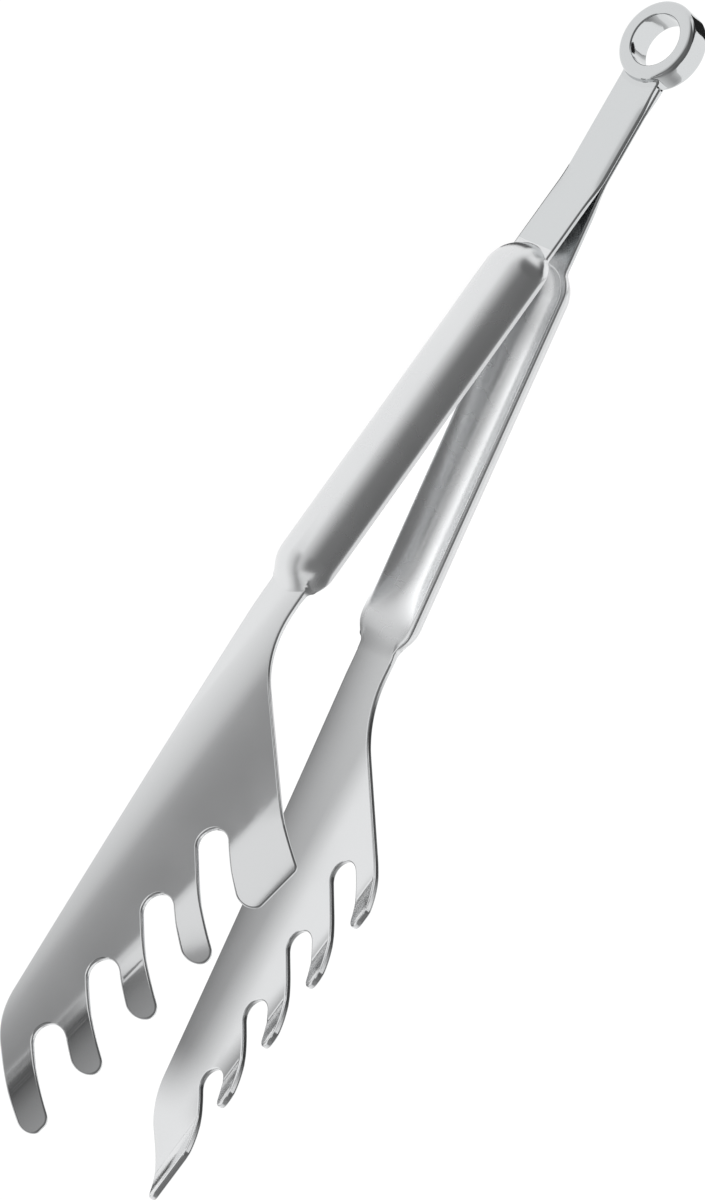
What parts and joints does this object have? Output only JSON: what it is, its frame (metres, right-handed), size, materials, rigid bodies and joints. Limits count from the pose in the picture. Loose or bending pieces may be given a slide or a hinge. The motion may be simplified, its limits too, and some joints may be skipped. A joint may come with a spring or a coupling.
{
  "type": "spaghetti tongs",
  "caption": "All-steel sprung pasta tongs: a hanging ring, two leaf-spring arms with half-round grips, and comb-like blades whose fingers curl inwards.",
  "frame": {"origin": "centre of the hanging ring's hole", "axes": "+X from the hanging ring to the fingertips, +Y along the hole's axis and the opening direction, towards the rear arm, +Z from the spine edges to the fingers"},
  "size_m": [0.2943, 0.0606, 0.05],
  "materials": {
    "polished_steel": "mirror-polished stainless steel",
    "satin_steel": "finely blasted satin stainless steel"
  },
  "bodies": {
    "root": {"hanging_ring": "polished_steel", "ring_weld": "polished_steel", "front_spring_root": "polished_steel", "rear_spring_root": "polished_steel"},
    "front_arm": {"front_leaf": "polished_steel", "front_grip": "satin_steel", "front_blade": "satin_steel"},
    "rear_arm": {"rear_leaf": "polished_steel", "rear_grip": "satin_steel", "rear_blade": "satin_steel"}
  },
  "joints": [
    {"name": "front_arm_flex", "type": "hinge", "parent": "root", "child": "front_arm", "pos_m": [0.04396, -0.00203, 0], "axis": [0, 0, 1], "range_deg": [-1.5, 4.4], "stiffness_Nm_per_rad": 12},
    {"name": "rear_arm_flex", "type": "hinge", "parent": "root", "child": "rear_arm", "pos_m": [0.04396, 0.00203, 0], "axis": [0, 0, -1], "range_deg": [-1.5, 4.4], "stiffness_Nm_per_rad": 12}
  ]
}
